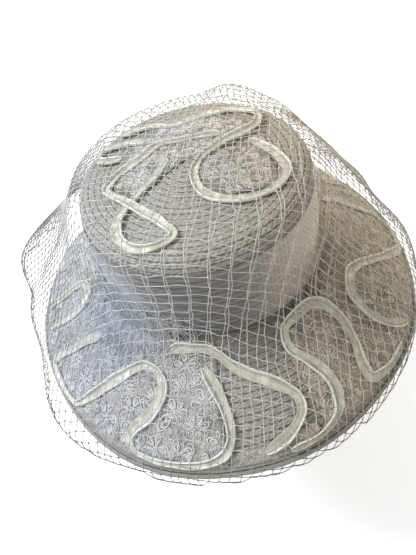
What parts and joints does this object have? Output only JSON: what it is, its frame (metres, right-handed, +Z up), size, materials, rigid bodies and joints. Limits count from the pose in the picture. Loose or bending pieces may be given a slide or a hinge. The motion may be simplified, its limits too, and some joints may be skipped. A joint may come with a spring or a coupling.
{
  "type": "dress hat",
  "caption": "Wide-brimmed sewn straw dress hat with a pleated tulle band, lace, looping satin ribbon and a draped net veil, shown as worn.",
  "frame": {"origin": "middle of the head opening, where the crown meets the brim", "axes": "+Z up through the crown, -Y out over the front of the brim"},
  "size_m": [0.368, 0.3741, 0.1782],
  "materials": {
    "straw": "matte sewn braid",
    "tulle": "sheer, finely pleated",
    "lace": "matte corded lace",
    "satin": "satin sheen",
    "net": "thin silky thread"
  },
  "bodies": {
    "root": {"crown": "straw", "brim": "straw", "crown_band": "tulle", "crown_lace": "lace", "brim_lace": "lace", "brim_lace_front": "lace", "tulle_fan": "tulle", "ribbon_eight": "satin", "ribbon_oval": "satin", "ribbon_curl": "satin", "ribbon_left_back": "satin", "ribbon_left": "satin", "ribbon_front": "satin", "ribbon_right": "satin", "ribbon_side": "satin", "ribbon_back": "satin", "rim_cord": "satin", "veil": "net"}
  },
  "joints": []
}
